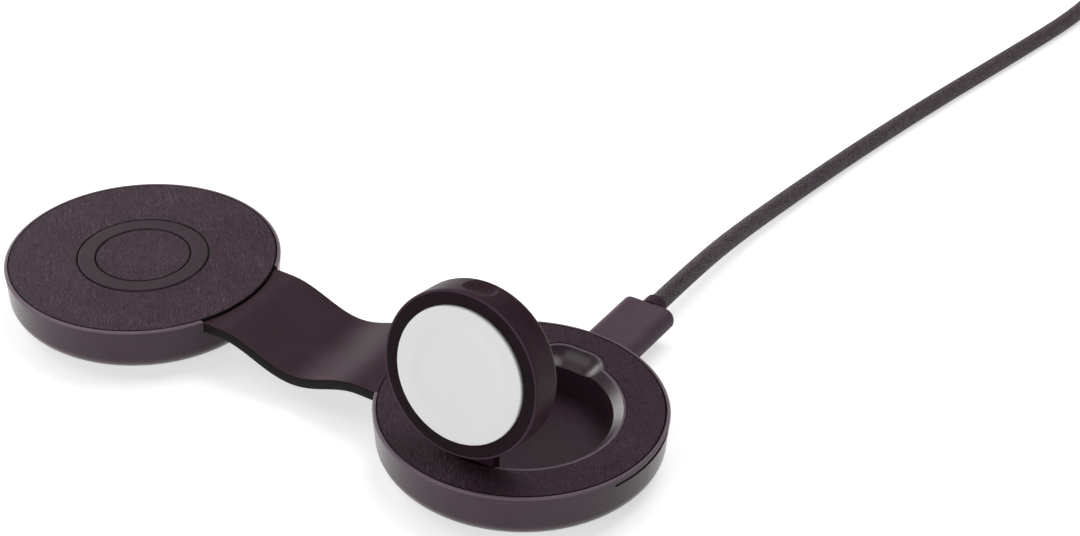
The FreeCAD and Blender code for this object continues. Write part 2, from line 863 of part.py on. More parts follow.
def tube(points, radius, name):
    """Round tube along straight runs joined by tangent arcs, each as large as its runs allow."""
    edges = []
    last = points[0]
    for before, corner, after in zip(points, points[1:], points[2:]):
        back = before - corner
        ahead = after - corner
        reach = arc_share * min(back.Length, ahead.Length)
        back.normalize()
        ahead.normalize()
        half_angle = back.getAngle(ahead) / 2
        bend = reach * math.tan(half_angle)
        print(name, "arc radius", round(bend, 1))
        first = corner + back * reach
        final = corner + ahead * reach
        inward = back + ahead
        inward.normalize()
        crown = corner + inward * (bend / math.sin(half_angle) - bend)
        edges.append(Part.LineSegment(last, first).toShape())
        edges.append(Part.Arc(first, crown, final).toShape())
        last = final
    edges.append(Part.LineSegment(last, points[-1]).toShape())
    length = sum(edge.Length for edge in edges)
    path = Part.Wire(edges)
    section = Part.Wire([Part.Circle(points[0], points[1] - points[0], radius).toShape()])
    solid = path.makePipeShell([section], True, True)
    share = solid.Volume / (math.pi * radius ** 2 * length)
    print(name, "length", round(length, 1), "volume share", round(share, 4))
    return solid


def cord_pieces():
    """Cable, coil, tie, tail and far plug, in the frame of the watch base."""
    exit_point = Vector(0, collar_end, port_height)
    straight_end = exit_point + along * exit_run
    coil_x, coil_y = coil_centre
    entry = Vector(coil_x - coil_start_radius, coil_y, tie_thickness + cable_radius)
    route = [exit_point, straight_end] + [Vector(*p) for p in cable_route] + [entry]
    cord = tube(route, cable_radius, "cord")

    coil_top = tie_thickness + 2 * coil_layers * cable_radius
    inner = coil_end_radius - cable_radius
    outer = coil_start_radius + cable_radius
    coil = ring(inner, outer, tie_thickness, coil_top)
    edges = [(radius, z) for radius in (inner, outer) for z in (tie_thickness, coil_top)]
    coil = rounded_circles(coil, coil_round, edges)
    coil.translate(Vector(coil_x, coil_y, 0))

    half = tie_width / 2
    near = coil_y + math.sqrt(inner ** 2 - half ** 2) - tie_gap
    far = coil_y + outer + tie_gap
    top = coil_top + tie_gap
    left = coil_x - half
    right = coil_x + half
    tie = block(left, right, near - tie_thickness, far + tie_thickness, 0, top + tie_thickness)
    tie = tie.cut(block(left - over, right + over, near, far, tie_thickness, top))

    leave_x = coil_x + coil_start_radius
    leave = Vector(leave_x, coil_y, coil_top - cable_radius)
    bends = [Vector(leave_x + dx, coil_y + dy, z) for dx, dy, z in tail_points]
    far_level = max(grip_height / 2, collar_radius)
    far_end = Vector(bends[-1].x, coil_y - far_collar_distance, far_level)
    tail = tube([leave] + bends + [far_end], cable_radius, "tail")

    far_pieces = []
    for piece in plug_parts():
        moved = piece.copy()
        moved.translate(Vector(far_end.x, far_end.y - collar_end, far_level - port_height))
        far_pieces.append(moved)
    return cord, coil, tie, tail, far_pieces


def build():
    """All pieces by name, at their places."""
    pad_housing = with_posts(disc_housing(1), pad_post_circle, pad_post_angles, pad_board_height)
    pad_deck = cylinder(deck_radius, deck_bottom, deck_top)
    pad_deck = pad_deck.cut(strap_cut(1, deck_bottom - over, deck_top + over))
    pad = {
        "pad_housing": pad_housing,
        "pad_deck": pad_deck,
        "pad_leather_ring": pad_leather_ring(),
        "pad_grip_ring": pad_grip_ring(),
        "pad_leather_centre": pad_leather_centre(),
        "alignment_magnets": alignment_magnets(),
        "phone_coil": ring(coil_inner_radius, coil_outer_radius, coil_bottom, deck_bottom),
        "phone_shield": cylinder(shield_radius, shield_bottom, coil_bottom),
        "pad_board": pad_board(),
        "pad_screws": board_screws(pad_post_circle, pad_post_angles, pad_board_top),
        "pad_foot": disc_foot(),
    }
    tip, grip, sleeve = plug_parts()
    cord, coil, tie, tail, far_pieces = cord_pieces()
    base = {
        "base_housing": base_housing(),
        "pocket_liner": pocket_liner(),
        "base_leather_ring": base_leather_ring(),
        "base_board": base_board(),
        "base_screws": board_screws(base_post_circle, base_post_angles, socket_bottom),
        "usb_receptacle": usb_receptacle(),
        "base_foot": disc_foot(),
        "hinge_pin": hinge_pin(),
        "hinge_washers": hinge_washers(),
        "puck_shell": raised(puck_shell()),
        "puck_bezel": raised(puck_bezel()),
        "puck_cap": raised(puck_cap()),
        "puck_board": raised(puck_board()),
        "watch_shield": raised(watch_shield()),
        "watch_coil": raised(watch_coil()),
        "watch_magnet": raised(watch_magnet()),
        "plug_shell": tip,
        "plug_body": grip,
        "plug_collar": sleeve,
        "cord": cord,
        "cord_coil": coil,
        "cord_tie": tie,
        "cord_tail": tail,
        "far_plug_shell": far_pieces[0],
        "far_plug_body": far_pieces[1],
        "far_plug_collar": far_pieces[2],
    }
    pieces = {"strap": strap(), "strap_lead": strap_lead()}
    for group, x in ((pad, pad_x), (base, base_x)):
        for name, shape in group.items():
            shape.translate(Vector(x, 0, 0))
            pieces[name] = shape
    return pieces


for node, solid in build().items():
    solid.exportStep(os.path.join("parts", node + ".step"))
    print(node, "solids", len(solid.Solids), "valid", solid.isValid(), "volume", round(solid.Volume, 2))
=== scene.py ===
import json
import math

import bpy
from mathutils import Matrix, Vector


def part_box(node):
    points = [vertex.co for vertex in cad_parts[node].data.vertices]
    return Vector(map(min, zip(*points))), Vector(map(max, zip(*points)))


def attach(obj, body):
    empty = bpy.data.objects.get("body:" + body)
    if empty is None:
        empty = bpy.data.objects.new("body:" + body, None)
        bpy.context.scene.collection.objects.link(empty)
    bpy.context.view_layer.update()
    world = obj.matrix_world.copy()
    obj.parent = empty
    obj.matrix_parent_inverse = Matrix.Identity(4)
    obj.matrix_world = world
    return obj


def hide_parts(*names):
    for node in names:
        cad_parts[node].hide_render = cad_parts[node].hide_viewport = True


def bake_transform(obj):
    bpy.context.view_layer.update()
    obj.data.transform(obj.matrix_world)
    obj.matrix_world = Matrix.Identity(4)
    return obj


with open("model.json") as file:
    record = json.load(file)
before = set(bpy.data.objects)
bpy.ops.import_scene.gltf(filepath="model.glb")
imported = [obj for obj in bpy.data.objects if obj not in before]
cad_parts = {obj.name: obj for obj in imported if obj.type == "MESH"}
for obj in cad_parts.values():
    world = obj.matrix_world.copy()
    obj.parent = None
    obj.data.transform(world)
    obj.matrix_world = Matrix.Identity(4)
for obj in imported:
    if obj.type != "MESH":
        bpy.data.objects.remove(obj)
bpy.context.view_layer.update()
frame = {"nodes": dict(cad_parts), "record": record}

nodes = frame["nodes"]
mm = 0.001

# Camera, fitted to the circles of the two discs in a picture of 1080 by 536 pixels
picture_width = 1080
focal_pixels = 2336.2
sensor = 36.0
near_clip = 0.01
view_azimuth = 31.55
view_elevation = 33.54
view_roll = 1.33
view_target = Vector((25.22, 43.32, 12.46)) * mm
view_distance = 500.8 * mm

# Places read from the frame
base_low, base_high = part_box("base_foot")
base_centre = (base_low + base_high) / 2
leather_low, leather_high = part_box("base_leather_ring")
leather_radius = (leather_high.y - leather_low.y) / 2
disc_top = leather_high.z / mm
upward = Vector((0, 0, 1))
strap_low, strap_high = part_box("strap")
lead_low, lead_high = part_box("strap_lead")
collar_low, collar_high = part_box("plug_collar")
coil_low, coil_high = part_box("cord_coil")
tie_low, tie_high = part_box("cord_tie")

# Strap, which hangs in a wave between flat ends, and the flat lead inside it
strap_thickness = 2.3 * mm
strap_round = 0.35 * mm
strap_wave_half = 17.5 * mm
strap_end_gap = 0.4 * mm
strap_middle = strap_high.z - strap_thickness / 2
strap_sag = strap_middle - (strap_low.z + strap_thickness / 2)
strap_columns = 140
tongue_height = 0.6 * mm
tongue_columns = 3
lead_thickness = 0.3 * mm
lead_drop = 0.55 * mm
lead_bend = 0.8 * mm
lead_foot = 1.2 * mm
lead_columns = 120
pad_board_top = 6.0 * mm

# Cable, with a route from the centre of the watch base and a tail from the end of the coil, in millimetres
cable_radius = 2.05 * mm
exit_run = 15.5 * mm
# The first two heights are above those in the part's source, so that the smooth line falls gently
cable_route = (
    (-0.4, 88.0, 4.1),
    (0.9, 111.0, 2.5),
    (4.8, 142.0, 2.1),
    (10.2, 174.5, 2.1),
    (16.9, 209.0, 2.1),
    (23.6, 246.0, 2.1),
)
tail_points = (
    (0.0, -12.0, 5.8),
    (0.6, -26.0, 2.6),
    (0.6, -38.0, 2.6),
)
coil_turns = 4.25
coil_points_per_turn = 24
coil_inner_radius = 14.0 * mm
coil_climb_turns = 0.6
cable_sides = 28
cable_steps = 6

# Tie round the coil
tie_thickness = 0.8 * mm
tie_bend = 1.2 * mm
tie_bend_steps = 6
tie_overlap = 3.5 * mm
tie_overlap_steps = 8
tie_overlap_rise = 1.05 * tie_thickness

# Lean of the standing puck, whose face looks to the front and up by this angle
puck_tilt = math.radians(10.0)
puck_axis = Vector((0, -math.cos(puck_tilt), math.sin(puck_tilt)))
puck_front = max(puck_axis.dot(v.co) for v in nodes["puck_shell"].data.vertices) / mm

# Direction of the leather grain, in degrees turned from Y
grain_direction = 31.5

# Parts of a noise that the paints spread over their whole range
cloud_band = (0.35, 0.65)
grain_band = (0.3, 0.7)

# Floor: its own tone, and the glow that is added for the rays that show it
floor_half = 4.0
floor_tone = 0.82
floor_glow = 0.6

# Sky, from 1 at the horizon to sky_above where the direction's Z passes sky_fade
sky_fade = 0.5
sky_above = 0.2
# Share of the sky that lights the object from the left and from the right, for X past sky_turn either way
sky_left = 0.8
sky_right = 0.25
sky_turn = 0.6

# Lamps: name, place and size in metres, power in watts
lamp_aim = (0.02, 0.0, 0.01)
lamps = (
    ("key_behind", (0.12, 0.45, 1.15), 0.9, 6.6),
    ("top_front", (-0.44, -0.33, 0.95), 0.7, 1.8),
    ("side_left", (-0.75, 0.34, 0.24), 0.5, 2.6),
    ("fill_front", (0.0, -1.05, 0.3), 0.7, 4.4),
)


# Small helpers for meshes

def new_object(name, verts, faces):
    """Mesh object in the scene."""
    mesh = bpy.data.meshes.new(name)
    mesh.from_pydata([tuple(v) for v in verts], [], faces)
    mesh.validate()
    obj = bpy.data.objects.new(name, mesh)
    bpy.context.scene.collection.objects.link(obj)
    return obj


def smooth(obj, angle=35.0):
    """Smooth shading, with edges kept sharp where they turn by more than the angle in degrees."""
    obj.data.shade_smooth()
    obj.data.set_sharp_from_angle(angle=math.radians(angle))


def give_uv(obj, uv_of_vertex):
    """UV layer from one (u, v) for each vertex."""
    layer = obj.data.uv_layers.new(name="UVMap")
    for loop in obj.data.loops:
        layer.data[loop.index].uv = uv_of_vertex[loop.vertex_index]


def ring_faces(rings, count):
    """Faces between closed rings of vertices, each with the same count, and over both ends."""
    faces = []
    for ring in range(rings - 1):
        for k in range(count):
            a = ring * count + k
            b = ring * count + (k + 1) % count
            faces.append((a, b, b + count, a + count))
    faces.append(tuple(range(count))[::-1])
    faces.append(tuple(range((rings - 1) * count, rings * count)))
    return faces


def ease(share):
    """Smooth step from 0 to 1."""
    return share * share * (3 - 2 * share)


# Materials

def linear(value):
    """Linear light from a screen value."""
    return value / 12.92 if value <= 0.04045 else ((value + 0.055) / 1.055) ** 2.4


def colour(text):
    """Linear colour from six hexadecimal digits."""
    parts = [int(text[i:i + 2], 16) / 255 for i in (0, 2, 4)]
    return (*[linear(p) for p in parts], 1.0)


class Paint:
    """A node material with short ways to add nodes to it."""

    def __init__(self, name, roughness, specular=0.5, metallic=0.0):
        self.material = bpy.data.materials.new(name)
        self.material.use_nodes = True
        self.tree = self.material.node_tree
        self.shader = self.tree.nodes["Principled BSDF"]
        self.shader.inputs["Roughness"].default_value = roughness
        self.shader.inputs["Specular IOR Level"].default_value = specular
        self.shader.inputs["Metallic"].default_value = metallic

    def node(self, kind, **values):
        """New node with the given properties."""
        made = self.tree.nodes.new(kind)
        for key, value in values.items():
            setattr(made, key, value)
        return made

    def link(self, source, target):
        self.tree.links.new(source, target)

    def millimetres(self, stretch=(1.0, 1.0, 1.0), turn=0.0):
        """Object coordinates in millimetres, turned about Z and then multiplied along the axes.

        A factor below 1 makes a pattern longer along its axis.
        """
        place = self.node("ShaderNodeTexCoord")
        scale = self.node("ShaderNodeMapping", vector_type="TEXTURE")
        scale.inputs["Rotation"].default_value = (0.0, 0.0, math.radians(turn))
        scale.inputs["Scale"].default_value = [mm / s for s in stretch]
        self.link(place.outputs["Object"], scale.inputs["Vector"])
        return scale.outputs["Vector"]

    def uv(self, stretch=(1.0, 1.0, 1.0)):
        """UV coordinates, multiplied along the axes."""
        place = self.node("ShaderNodeTexCoord")
        scale = self.node("ShaderNodeMapping")
        scale.inputs["Scale"].default_value = stretch
        self.link(place.outputs["UV"], scale.inputs["Vector"])
        return scale.outputs["Vector"]

    def along(self, vector, axis):
        """How far a vector reaches along an axis."""
        made = self.node("ShaderNodeVectorMath", operation="DOT_PRODUCT")
        made.inputs[1].default_value = axis
        self.link(vector, made.inputs[0])
        return made.outputs["Value"]

    def noise(self, vector, scale, detail=3.0, roughness=0.5):
        """Noise with about this many spots to a unit."""
        made = self.node("ShaderNodeTexNoise")
        made.inputs["Scale"].default_value = scale
        made.inputs["Detail"].default_value = detail
        made.inputs["Roughness"].default_value = roughness
        self.link(vector, made.inputs["Vector"])
        return made.outputs["Fac"]

    def cells(self, vector, scale, randomness=1.0):
        """Distance to the edges of cells, with about this many cells to a unit."""
        made = self.node("ShaderNodeTexVoronoi", feature="DISTANCE_TO_EDGE")
        made.inputs["Scale"].default_value = scale
        made.inputs["Randomness"].default_value = randomness
        self.link(vector, made.inputs["Vector"])
        return made.outputs["Distance"]

    def spread(self, value, low, high, to_low=0.0, to_high=1.0):
        """Value between low and high, spread over another range."""
        made = self.node("ShaderNodeMapRange")
        ends = {"From Min": low, "From Max": high, "To Min": to_low, "To Max": to_high}
        for key, number in ends.items():
            made.inputs[key].default_value = number
        self.link(value, made.inputs["Value"])
        return made.outputs["Result"]

    def math(self, operation, first, second=None):
        """Result of a sum with numbers or outputs."""
        made = self.node("ShaderNodeMath", operation=operation)
        for index, value in enumerate((first, second)):
            if value is None:
                continue
            if isinstance(value, (int, float)):
                made.inputs[index].default_value = value
            else:
                self.link(value, made.inputs[index])
        return made.outputs["Value"]

    def mix(self, factor, first, second):
        """Colour between two colours or colour outputs."""
        made = self.node("ShaderNodeMix", data_type="RGBA")
        self.link(factor, made.inputs["Factor"])
        for socket, value in ((made.inputs["A"], first), (made.inputs["B"], second)):
            if isinstance(value, tuple):
                socket.default_value = value
            else:
                self.link(value, socket)
        return made.outputs["Result"]

    def clouds(self, vector, dark, light, scale):
        """Broad clouds of tone between two colours."""
        cloud = self.spread(self.noise(vector, scale, detail=2.0), *cloud_band)
        return self.mix(cloud, colour(dark), colour(light))

    def colours(self, output):
        self.link(output, self.shader.inputs["Base Color"])

    def roughen(self, grain, low, high):
        """Roughness between two values, by a noise."""
        self.link(self.spread(grain, *grain_band, low, high), self.shader.inputs["Roughness"])

    def bump(self, height, depth, strength=1.0):
        """Bump of the given depth in millimetres."""
        made = self.node("ShaderNodeBump")
        made.inputs["Distance"].default_value = depth * mm
        made.inputs["Strength"].default_value = strength
        self.link(height, made.inputs["Height"])
        self.link(made.outputs["Normal"], self.shader.inputs["Normal"])


def moulded(name, dark, light, roughness, specular, grain=0.012, edge=None):
    """Satin moulded plastic with faint clouds of tone and a fine grain, as deep as given in millimetres.

    An edge of (axis, low, high, colour) paints a highlight: it turns the surface to a paler colour between
    two places along an axis.
    """
    smoother = 0.05
    rougher = 0.06
    paint = Paint(name, roughness, specular)
    place = paint.millimetres()
    tone = paint.clouds(place, dark, light, scale=0.16)
    if edge is not None:
        # Painted highlight along the rim
        axis, low, high, pale = edge
        tone = paint.mix(paint.spread(paint.along(place, axis), low, high), tone, colour(pale))
    paint.colours(tone)
    fine = paint.noise(place, scale=7.0, roughness=0.6)
    paint.roughen(fine, roughness - smoother, roughness + rougher)
    paint.bump(fine, grain)
    return paint.material


def leather(name, dark, light, streaks):
    """Fine leather: shallow pebbles parted by creases painted darker as shade, wavy streaks along the grain,
    and rounded edges painted dark as shade in the seam by the rim.
    """
    pebble_stretch = (1.0, 0.3, 1.0)
    pebble_bend = 1.0
    pebble_relief = 0.7
    fine_relief = 0.6
    streak_stretch = (1.0, 0.19, 1.0)
    streak_bend = 2.4
    # Scale of a noise, the part of it in which a streak grows, and the streak's colour
    pale_streak = (2.5, 0.52, 0.68, "745f6b")
    deep_streak = (2.1, 0.52, 0.7, "23141d")
    patch_band = (0.38, 0.62)
    faintest_patch = 0.35
    wave_across = 1.2
    wave_along = -0.6
    # Creases between the pebbles are painted darker: painted shade in the creases
    crease_width = 0.1
    crease_painted_shade = "2d1c27"
    pebble_shoulder = 0.2
    # The rounded edge just below the top turns near black: painted shade in the seam between the leather and
    # the rim
    edge_start = disc_top - 0.05
    edge_end = disc_top - 0.004
    edge_shade = "0d070a"
    paint = Paint(name, roughness=0.6, specular=0.12)
    plain = paint.millimetres()
    wave = paint.math("MULTIPLY", paint.noise(plain, scale=0.6, detail=2.0), wave_across)
    waves = paint.node("ShaderNodeCombineXYZ")
    paint.link(wave, waves.inputs["X"])
    paint.link(paint.math("MULTIPLY", wave, wave_along), waves.inputs["Y"])

    def along_grain(stretch, bend):
        """Coordinates that are long along the grain and bend in waves."""
        made = paint.node("ShaderNodeVectorMath", operation="MULTIPLY_ADD")
        paint.link(waves.outputs["Vector"], made.inputs[0])
        made.inputs[1].default_value = (bend, bend, bend)
        paint.link(paint.millimetres(stretch, grain_direction), made.inputs[2])
        return made.outputs["Vector"]

    pebbles = along_grain(pebble_stretch, pebble_bend)
    fibres = along_grain(streak_stretch, streak_bend)
    creases = paint.cells(pebbles, scale=2.0)
    fine = paint.noise(pebbles, scale=4.5, roughness=0.6)
    tone = paint.clouds(plain, dark, light, scale=0.12)

    patches = paint.spread(paint.noise(plain, scale=0.2, detail=2.0), *patch_band, to_low=faintest_patch)
    for scale, low, high, shade in (pale_streak, deep_streak):
        fibre = paint.noise(fibres, scale, detail=1.0, roughness=0.6)
        streak = paint.math("MULTIPLY", paint.spread(fibre, low, high, to_high=streaks), patches)
        tone = paint.mix(streak, tone, colour(shade))
    tone = paint.mix(paint.spread(creases, 0.0, crease_width), colour(crease_painted_shade), tone)
    # Painted shade in the seam: below the top the colour goes to the edge shade
    clear_of_seam_shade = paint.spread(paint.along(plain, upward), edge_start, edge_end)
    paint.colours(paint.mix(clear_of_seam_shade, colour(edge_shade), tone))

    paint.roughen(fine, low=0.52, high=0.68)
    pebble_height = paint.math("MULTIPLY", paint.spread(creases, 0.0, pebble_shoulder), pebble_relief)
    height = paint.math("ADD", pebble_height, paint.math("MULTIPLY", fine, fine_relief))
    paint.bump(height, depth=0.09, strength=0.9)
    return paint.material


def soft_rubber(name, dark, light, roughness, specular):
    """Matte rubber with a dusty fine grain."""
    paint = Paint(name, roughness, specular)
    rubber_grain(paint, paint.millimetres(), dark, light, roughness)
    return paint.material


def rubber_grain(paint, place, dark, light, roughness, edge=None):
    """Clouds of tone, fine bump, and a darker colour where the edge factor is 1."""
    vary = 0.06
    edge_shade = "0b0609"
    tone = paint.clouds(place, dark, light, scale=0.12)
    if edge is not None:
        tone = paint.mix(edge, tone, colour(edge_shade))
    paint.colours(tone)
    fine = paint.noise(place, scale=5.0, detail=4.0, roughness=0.65)
    paint.roughen(fine, roughness - vary, roughness + vary)
    paint.bump(fine, depth=0.012)


def strap_rubber(name, dark, light, roughness, specular):
    """Rubber laid out along the strap, with its cut edges darker."""
    edge_start = strap_high.y / mm - 0.22
    edge_end = strap_high.y / mm - 0.08
    paint = Paint(name, roughness, specular)
    place = paint.uv((1 / mm, 1 / mm, 1.0))
    split = paint.node("ShaderNodeSeparateXYZ")
    paint.link(place, split.inputs["Vector"])
    edge = paint.spread(paint.math("ABSOLUTE", split.outputs["Y"]), edge_start, edge_end)
    rubber_grain(paint, place, dark, light, roughness, edge)
    return paint.material


def white_face(name):
    """White satin-gloss polymer face."""
    paint = Paint(name, roughness=0.3, specular=0.3)
    place = paint.millimetres()
    clouds = paint.noise(place, scale=0.1, detail=2.0)
    paint.colours(paint.mix(clouds, colour("f0f0f0"), colour("f3f3f3")))
    fine = paint.noise(place, scale=6.0, detail=2.0)
    paint.roughen(fine, low=0.22, high=0.3)
    paint.bump(fine, depth=0.002)
    return paint.material


def braid(name):
    """Braided sleeve: two sets of crossing strands, two over and two under, each of fine yarns."""
    strands = 24
    lay_per_metre = 720
    over_and_under = 4.0
    over_count = 2.0
    yarns_per_strand = 4.0
    yarn_relief = 0.35
    darkest_fleck = 0.45
    paint = Paint(name, roughness=0.55, specular=0.3)
    split = paint.node("ShaderNodeSeparateXYZ")
    paint.link(paint.uv(), split.inputs["Vector"])
    along = paint.math("MULTIPLY", split.outputs["X"], lay_per_metre)
    around = paint.math("MULTIPLY", split.outputs["Y"], strands)
    right = paint.math("ADD", around, along)
    left = paint.math("SUBTRACT", around, along)
    right_strand = paint.math("FLOOR", right)
    left_strand = paint.math("FLOOR", left)

    def crown(value):
        """Round top of a strand that is one unit wide."""
        offset = paint.math("SUBTRACT", paint.math("FRACT", value), 0.5)
        square = paint.math("MULTIPLY", paint.math("MULTIPLY", offset, offset), 4.0)
        return paint.math("SUBTRACT", 1.0, square)

    crossing = paint.math("FLOORED_MODULO", paint.math("ADD", right_strand, left_strand), over_and_under)
    over = paint.math("LESS_THAN", crossing, over_count)
    under = paint.math("SUBTRACT", 1.0, over)

    def on_top(right_value, left_value):
        """Value of the set of strands that lies on top."""
        right_part = paint.math("MULTIPLY", right_value, over)
        left_part = paint.math("MULTIPLY", left_value, under)
        return paint.math("ADD", right_part, left_part)

    strand_height = on_top(crown(right), crown(left))
    yarn_height = crown(paint.math("MULTIPLY", on_top(right, left), yarns_per_strand))
    relief = paint.math("ADD", strand_height, paint.math("MULTIPLY", yarn_height, yarn_relief))

    fleck = paint.node("ShaderNodeTexWhiteNoise", noise_dimensions="2D")
    spot = paint.node("ShaderNodeCombineXYZ")
    paint.link(right_strand, spot.inputs["X"])
    paint.link(left_strand, spot.inputs["Y"])
    paint.link(spot.outputs["Vector"], fleck.inputs["Vector"])
    flecks = paint.spread(fleck.outputs["Value"], low=0.0, high=1.0, to_low=darkest_fleck)
    # Strands are painted lighter on their crowns and darker down into the gaps: painted highlight and painted
    # shade, times a random tone for each strand
    tone = paint.math("MULTIPLY", paint.spread(relief, low=0.2, high=1.3), flecks)
    paint.colours(paint.mix(tone, colour("160b12"), colour("7c6c76")))
    paint.bump(relief, depth=0.16)
    return paint.material


def woven(name):
    """Plain woven tape."""
    paint = Paint(name, roughness=0.8, specular=0.2)
    place = paint.millimetres()
    waves = []
    for direction in ("X", "Y", "Z"):
        wave = paint.node("ShaderNodeTexWave", bands_direction=direction)
        wave.inputs["Scale"].default_value = 0.55
        wave.inputs["Distortion"].default_value = 0.4
        paint.link(place, wave.inputs["Vector"])
        waves.append(wave.outputs["Fac"])
    height = paint.math("MULTIPLY", paint.math("ADD", waves[0], waves[1]), waves[2])
    paint.colours(paint.mix(height, colour("221a20"), colour("3c3138")))
    paint.bump(height, depth=0.1)
    return paint.material


def brushed(name, tint, roughness):
    """Metal with fine drawn lines."""
    smoother = 0.08
    rougher = 0.1
    line_stretch = (1.0, 0.08, 1.0)
    paint = Paint(name, roughness, metallic=1.0)
    lines = paint.noise(paint.millimetres(line_stretch), scale=9.0)
    paint.colours(paint.mix(lines, colour(tint), colour("d8d8da")))
    paint.roughen(lines, roughness - smoother, roughness + rougher)
    paint.bump(lines, depth=0.004)
    return paint.material


def winding(name):
    """Enamelled copper wound in a flat spiral."""
    paint = Paint(name, roughness=0.35, metallic=1.0)
    wave = paint.node("ShaderNodeTexWave", wave_type="RINGS", rings_direction="Z")
    wave.inputs["Scale"].default_value = 0.6
    paint.link(paint.millimetres(), wave.inputs["Vector"])
    paint.colours(paint.mix(wave.outputs["Fac"], colour("7a4322"), colour("c07a48")))
    paint.bump(wave.outputs["Fac"], depth=0.1)
    return paint.material


def board(name):
    """Green solder mask over copper traces."""
    paint = Paint(name, roughness=0.35)
    cells = paint.cells(paint.millimetres(), scale=0.6, randomness=0.3)
    traces = paint.spread(cells, low=0.05, high=0.12)
    paint.colours(paint.mix(traces, colour("1f5a3a"), colour("123f28")))
    paint.bump(traces, depth=0.02)
    return paint.material


# Painted highlights on the rims: a paler colour between places along an axis in millimetres
housing_rim_highlight = (upward, disc_top - 0.4, disc_top - 0.2, "7a6873")
liner_rim_highlight = (upward, disc_top - 0.3, disc_top - 0.15, "6d5c67")
puck_rim_highlight = (puck_axis, puck_front - 0.35, puck_front - 0.1, "46333e")

# Paints by slot and for single nodes. Most take a name, two colours, a roughness and a specular level
paints = {
    "housing": moulded("plum_plastic", "3b2633", "402b38", 0.22, 0.34, edge=housing_rim_highlight),
    "liner": moulded("plum_liner", "33202b", "392631", 0.3, 0.5, edge=liner_rim_highlight),
    "puck": moulded("plum_puck", "301b26", "36212c", 0.4, 0.08, edge=puck_rim_highlight),
    "plug": moulded("plum_plug", "594652", "5f4c58", 0.5, 0.12),
    "boot": soft_rubber("boot_rubber", "3c2a33", "42303a", 0.6, 0.1),
    "leather": leather("plum_leather", "3f2a36", "47323e", 0.4),
    # The base's leather is the pad's leather painted a little darker as painted shade, with fainter streaks
    "leather_painted_shade": leather("plum_leather_painted_shade", "3e2935", "44303b", 0.18),
    "grip": soft_rubber("grip_rubber", "3e3038", "44343c", 0.6, 0.12),
    "strap": strap_rubber("strap_rubber", "38242e", "3d2934", 0.52, 0.12),
    "bezel": moulded("bezel_plastic", "180b12", "1d1017", 0.38, 0.06),
    "cap": white_face("white_polymer"),
    "foot": soft_rubber("foot_rubber", "1a1518", "221b1f", 0.7, 0.25),
    "steel": brushed("drawn_steel", "9a9a9e", 0.32),
    "copper": winding("copper_winding"),
    "ferrite": moulded("ferrite_grey", "26262a", "303034", 0.6, 0.3, grain=0.03),
    "board": board("solder_mask"),
    "lead": moulded("polyimide_film", "7a4a18", "8a561f", 0.3, 0.5, grain=0.004),
    "braid": braid("braided_sleeve"),
    "tie": woven("woven_tie"),
}


def dress(obj, paint):
    """Give an object one paint."""
    obj.data.materials.clear()
    obj.data.materials.append(paints[paint])


for row in frame["record"]["subparts"]:
    dress(nodes[row["node"]], row["material_slot"])
own_paints = {
    "pocket_liner": "liner",
    "puck_shell": "puck",
    # The base's leather ring takes the copy painted darker as shade
    "base_leather_ring": "leather_painted_shade",
    "plug_body": "plug",
    "plug_collar": "boot",
    "far_plug_body": "plug",
    "far_plug_collar": "boot",
}
for name, paint in own_paints.items():
    dress(nodes[name], paint)


# Strap and its lead

def wave_place(x):
    """Height below the flat ends, and slope, of the strap's middle at x."""
    if abs(x) >= strap_wave_half:
        return 0.0, 0.0
    phase = math.pi * x / strap_wave_half
    drop = strap_sag * (1 + math.cos(phase)) / 2
    return drop, strap_sag * math.sin(phase) * math.pi / (2 * strap_wave_half)


def beside_wave(x, y, height):
    """Point at a height above the strap's middle surface, square to it."""
    drop, slope = wave_place(x)
    length = math.hypot(1.0, slope)
    return Vector((x - height * slope / length, y, strap_middle - drop + height / length))


def rounded_corner(across, height, first, radius, steps):
    """Points of a quarter circle from the first angle, turning clockwise."""
    points = []
    for k in range(steps + 1):
        angle = math.radians(first - 90 * k / steps)
        points.append((across + radius * math.cos(angle), height + radius * math.sin(angle)))
    return points


def flat_section(half_width, thickness, radius, across, corner):
    """Closed outline of (across, height) with rounded edges, in steps across and round each corner."""
    half = half_width - radius
    rise = thickness / 2 - radius
    top = [(half * (2 * k / across - 1), thickness / 2) for k in range(across)]
    bottom = [(half * (1 - 2 * k / across), -thickness / 2) for k in range(across)]
    right = rounded_corner(half, rise, 90, radius, corner)
    right += rounded_corner(half, -rise, 0, radius, corner)
    left = rounded_corner(-half, -rise, 270, radius, corner)
    left += rounded_corner(-half, rise, 180, radius, corner)
    return top + right + bottom[1:] + left[:-1]


def make_strap():
    """Strap whose top ends in an arc along each disc's leather, with a thinner tongue beyond."""
    section = flat_section(strap_high.y, strap_thickness, strap_round, across=22, corner=4)
    cut = leather_radius + strap_end_gap
    verts = []
    uvs = []

    def add_ring(share, tongue):
        """Ring at a share of the way from the middle to the arc, or past 1 along the tongue."""
        for y, height in section:
            arc = base_centre.x - math.sqrt(cut ** 2 - y ** 2)
            x = arc * share
            if tongue:
                reach = (abs(share) - 1.0) * (strap_high.x - arc)
                x = math.copysign(arc + reach, share)
                height = min(height, tongue_height)
            verts.append(beside_wave(x, y, height))
            uvs.append((x, y))

    for k in range(tongue_columns, -1, -1):
        add_ring(-1.0 - k / tongue_columns, True)
    for k in range(strap_columns + 1):
        add_ring(2 * k / strap_columns - 1, False)
    for k in range(tongue_columns + 1):
        add_ring(1.0 + k / tongue_columns, True)
    rings = len(verts) // len(section)
    obj = new_object("strap_band", verts, ring_faces(rings, len(section)))
    give_uv(obj, uvs)
    smooth(obj)
    dress(obj, "strap")
    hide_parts("strap")
    return obj


